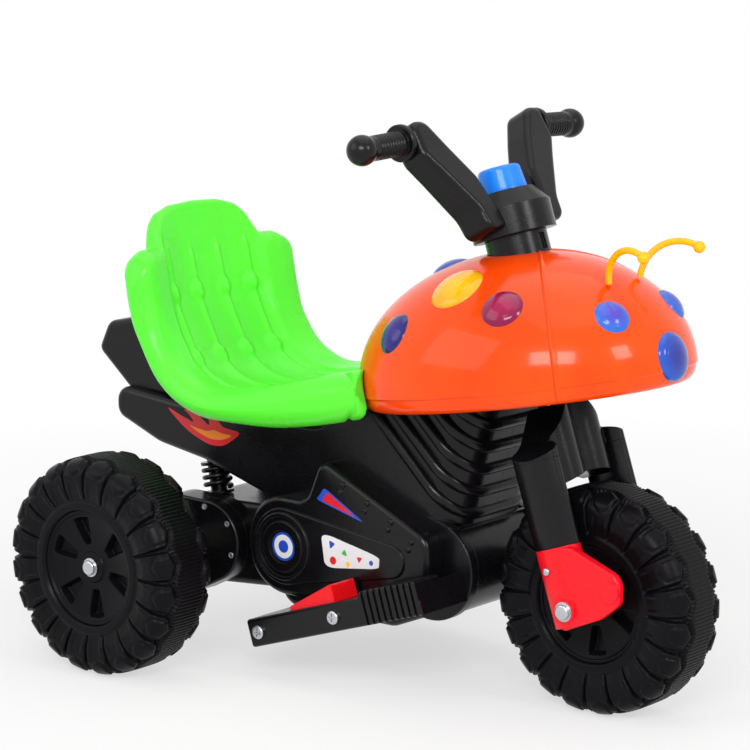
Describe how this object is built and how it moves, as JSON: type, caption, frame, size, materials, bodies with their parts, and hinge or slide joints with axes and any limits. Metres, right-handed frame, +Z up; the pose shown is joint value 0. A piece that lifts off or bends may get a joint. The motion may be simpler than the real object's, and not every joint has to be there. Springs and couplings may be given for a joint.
{
  "type": "children's ride-on electric trike",
  "caption": "Battery ride-on trike for a small child: orange dome cowl with coloured lenses and yellow feelers, lime green bucket seat, black body and chunky black wheels.",
  "frame": {"origin": "on the ground under the middle of the trike's length and width", "axes": "+X points forward along the longest side, +Y to the rider's left, +Z up"},
  "size_m": [0.6949, 0.45, 0.5351],
  "materials": {
    "black_plastic": "semi-gloss moulded black plastic",
    "wheel_plastic": "blow-moulded black plastic with a satin skin",
    "green_plastic": "smooth lime green plastic",
    "orange_plastic": "glossy orange plastic",
    "red_plastic": "glossy red plastic",
    "blue_plastic": "glossy light blue plastic",
    "yellow_plastic": "glossy yellow plastic",
    "yellow_lens": "clear tinted plastic lens",
    "crimson_lens": "clear tinted plastic lens",
    "indigo_lens": "clear tinted plastic lens",
    "violet_lens": "clear tinted plastic lens",
    "blue_lens": "clear tinted plastic lens",
    "white_plastic": "natural white gear plastic",
    "steel": "zinc-plated steel",
    "can_steel": "plated motor can",
    "board_green": "printed circuit board"
  },
  "bodies": {
    "chassis": {"body_shell_right": "black_plastic", "body_shell_left": "black_plastic", "tail_fin": "black_plastic", "engine_cover_right": "black_plastic", "engine_cover_left": "black_plastic", "footrest_right": "black_plastic", "footrest_left": "black_plastic", "footrest_screws": "steel", "dome_tray": "black_plastic", "dome_rear_shell": "orange_plastic", "dome_front_shell": "orange_plastic", "lenses_blue": "blue_lens", "lenses_yellow": "yellow_lens", "lenses_crimson": "crimson_lens", "lenses_indigo": "indigo_lens", "lenses_violet": "violet_lens", "antennae": "yellow_plastic", "seat": "green_plastic", "battery": "black_plastic", "sound_board": "board_green", "steering_head": "black_plastic", "gearbox_inner_case": "black_plastic", "gearbox_outer_case": "black_plastic", "gearbox_screws": "steel", "motor": "can_steel", "rear_axle": "steel", "rear_axle_nuts": "steel", "axle_bracket_left": "black_plastic", "shock_posts": "black_plastic", "shock_coils": "black_plastic", "pedal_pin": "steel", "pedal_switch": "black_plastic", "switch_socket": "black_plastic"},
    "steering": {"fork_crown": "black_plastic", "fork_leg_right": "black_plastic", "fork_leg_left": "black_plastic", "fork_end_right": "red_plastic", "fork_end_left": "red_plastic", "front_axle": "steel", "front_axle_nuts": "steel", "steering_stem": "steel", "steering_column": "black_plastic", "handlebar": "black_plastic", "grip_right": "black_plastic", "grip_left": "black_plastic", "horn_switch": "black_plastic"},
    "front_wheel": {"front_tyre": "wheel_plastic", "front_hub": "wheel_plastic"},
    "rear_wheel_right": {"rear_tyre_right": "wheel_plastic", "rear_hub_right": "wheel_plastic", "drive_gear": "white_plastic"},
    "rear_wheel_left": {"rear_tyre_left": "wheel_plastic", "rear_hub_left": "wheel_plastic"},
    "idler": {"idler_gear": "white_plastic"},
    "rotor": {"motor_pinion": "white_plastic"},
    "pedal": {"accelerator_pedal": "red_plastic"},
    "button": {"horn_button": "blue_plastic"},
    "rocker": {"direction_rocker": "red_plastic"}
  },
  "joints": [
    {"name": "steer", "type": "hinge", "parent": "chassis", "child": "steering", "pos_m": [0.2435, 0, 0.105], "axis": [-0.3173, 0, 0.9483], "range_deg": [-30, 30]},
    {"name": "front_wheel_spin", "type": "hinge", "parent": "steering", "child": "front_wheel", "pos_m": [0.2435, 0, 0.105], "axis": [0, 1, 0], "continuous": true},
    {"name": "rear_right_spin", "type": "hinge", "parent": "chassis", "child": "rear_wheel_right", "pos_m": [-0.2005, -0.189, 0.105], "axis": [0, 1, 0], "continuous": true},
    {"name": "rear_left_spin", "type": "hinge", "parent": "chassis", "child": "rear_wheel_left", "pos_m": [-0.2005, 0.189, 0.105], "axis": [0, 1, 0], "continuous": true},
    {"name": "idler_spin", "type": "hinge", "parent": "chassis", "child": "idler", "pos_m": [-0.15935, -0.0775, 0.11603], "axis": [0, 1, 0], "continuous": true},
    {"name": "pinion_spin", "type": "hinge", "parent": "chassis", "child": "rotor", "pos_m": [-0.16458, -0.0715, 0.08638], "axis": [0, 1, 0], "continuous": true},
    {"name": "pedal_press", "type": "hinge", "parent": "chassis", "child": "pedal", "pos_m": [-0.02451, -0.108, 0.07041], "axis": [0, 1, 0], "range_deg": [0, 6.5], "stiffness_Nm_per_rad": 0.6, "springref_deg": -6.88},
    {"name": "horn_press", "type": "slide", "parent": "steering", "child": "button", "axis": [0.3173, 0, -0.9483], "range_m": [0, 0.0025], "stiffness_N_per_m": 300, "springref_m": -0.004},
    {"name": "direction_switch", "type": "hinge", "parent": "chassis", "child": "rocker", "pos_m": [-0.0185, 0.056, 0.214], "axis": [0, 0, 1], "range_deg": [-6, 6]}
  ],
  "couplings": [
    {"joint": "idler_spin", "follows": "rear_right_spin", "ratio": -4.6667},
    {"joint": "pinion_spin", "follows": "rear_right_spin", "ratio": 14}
  ]
}
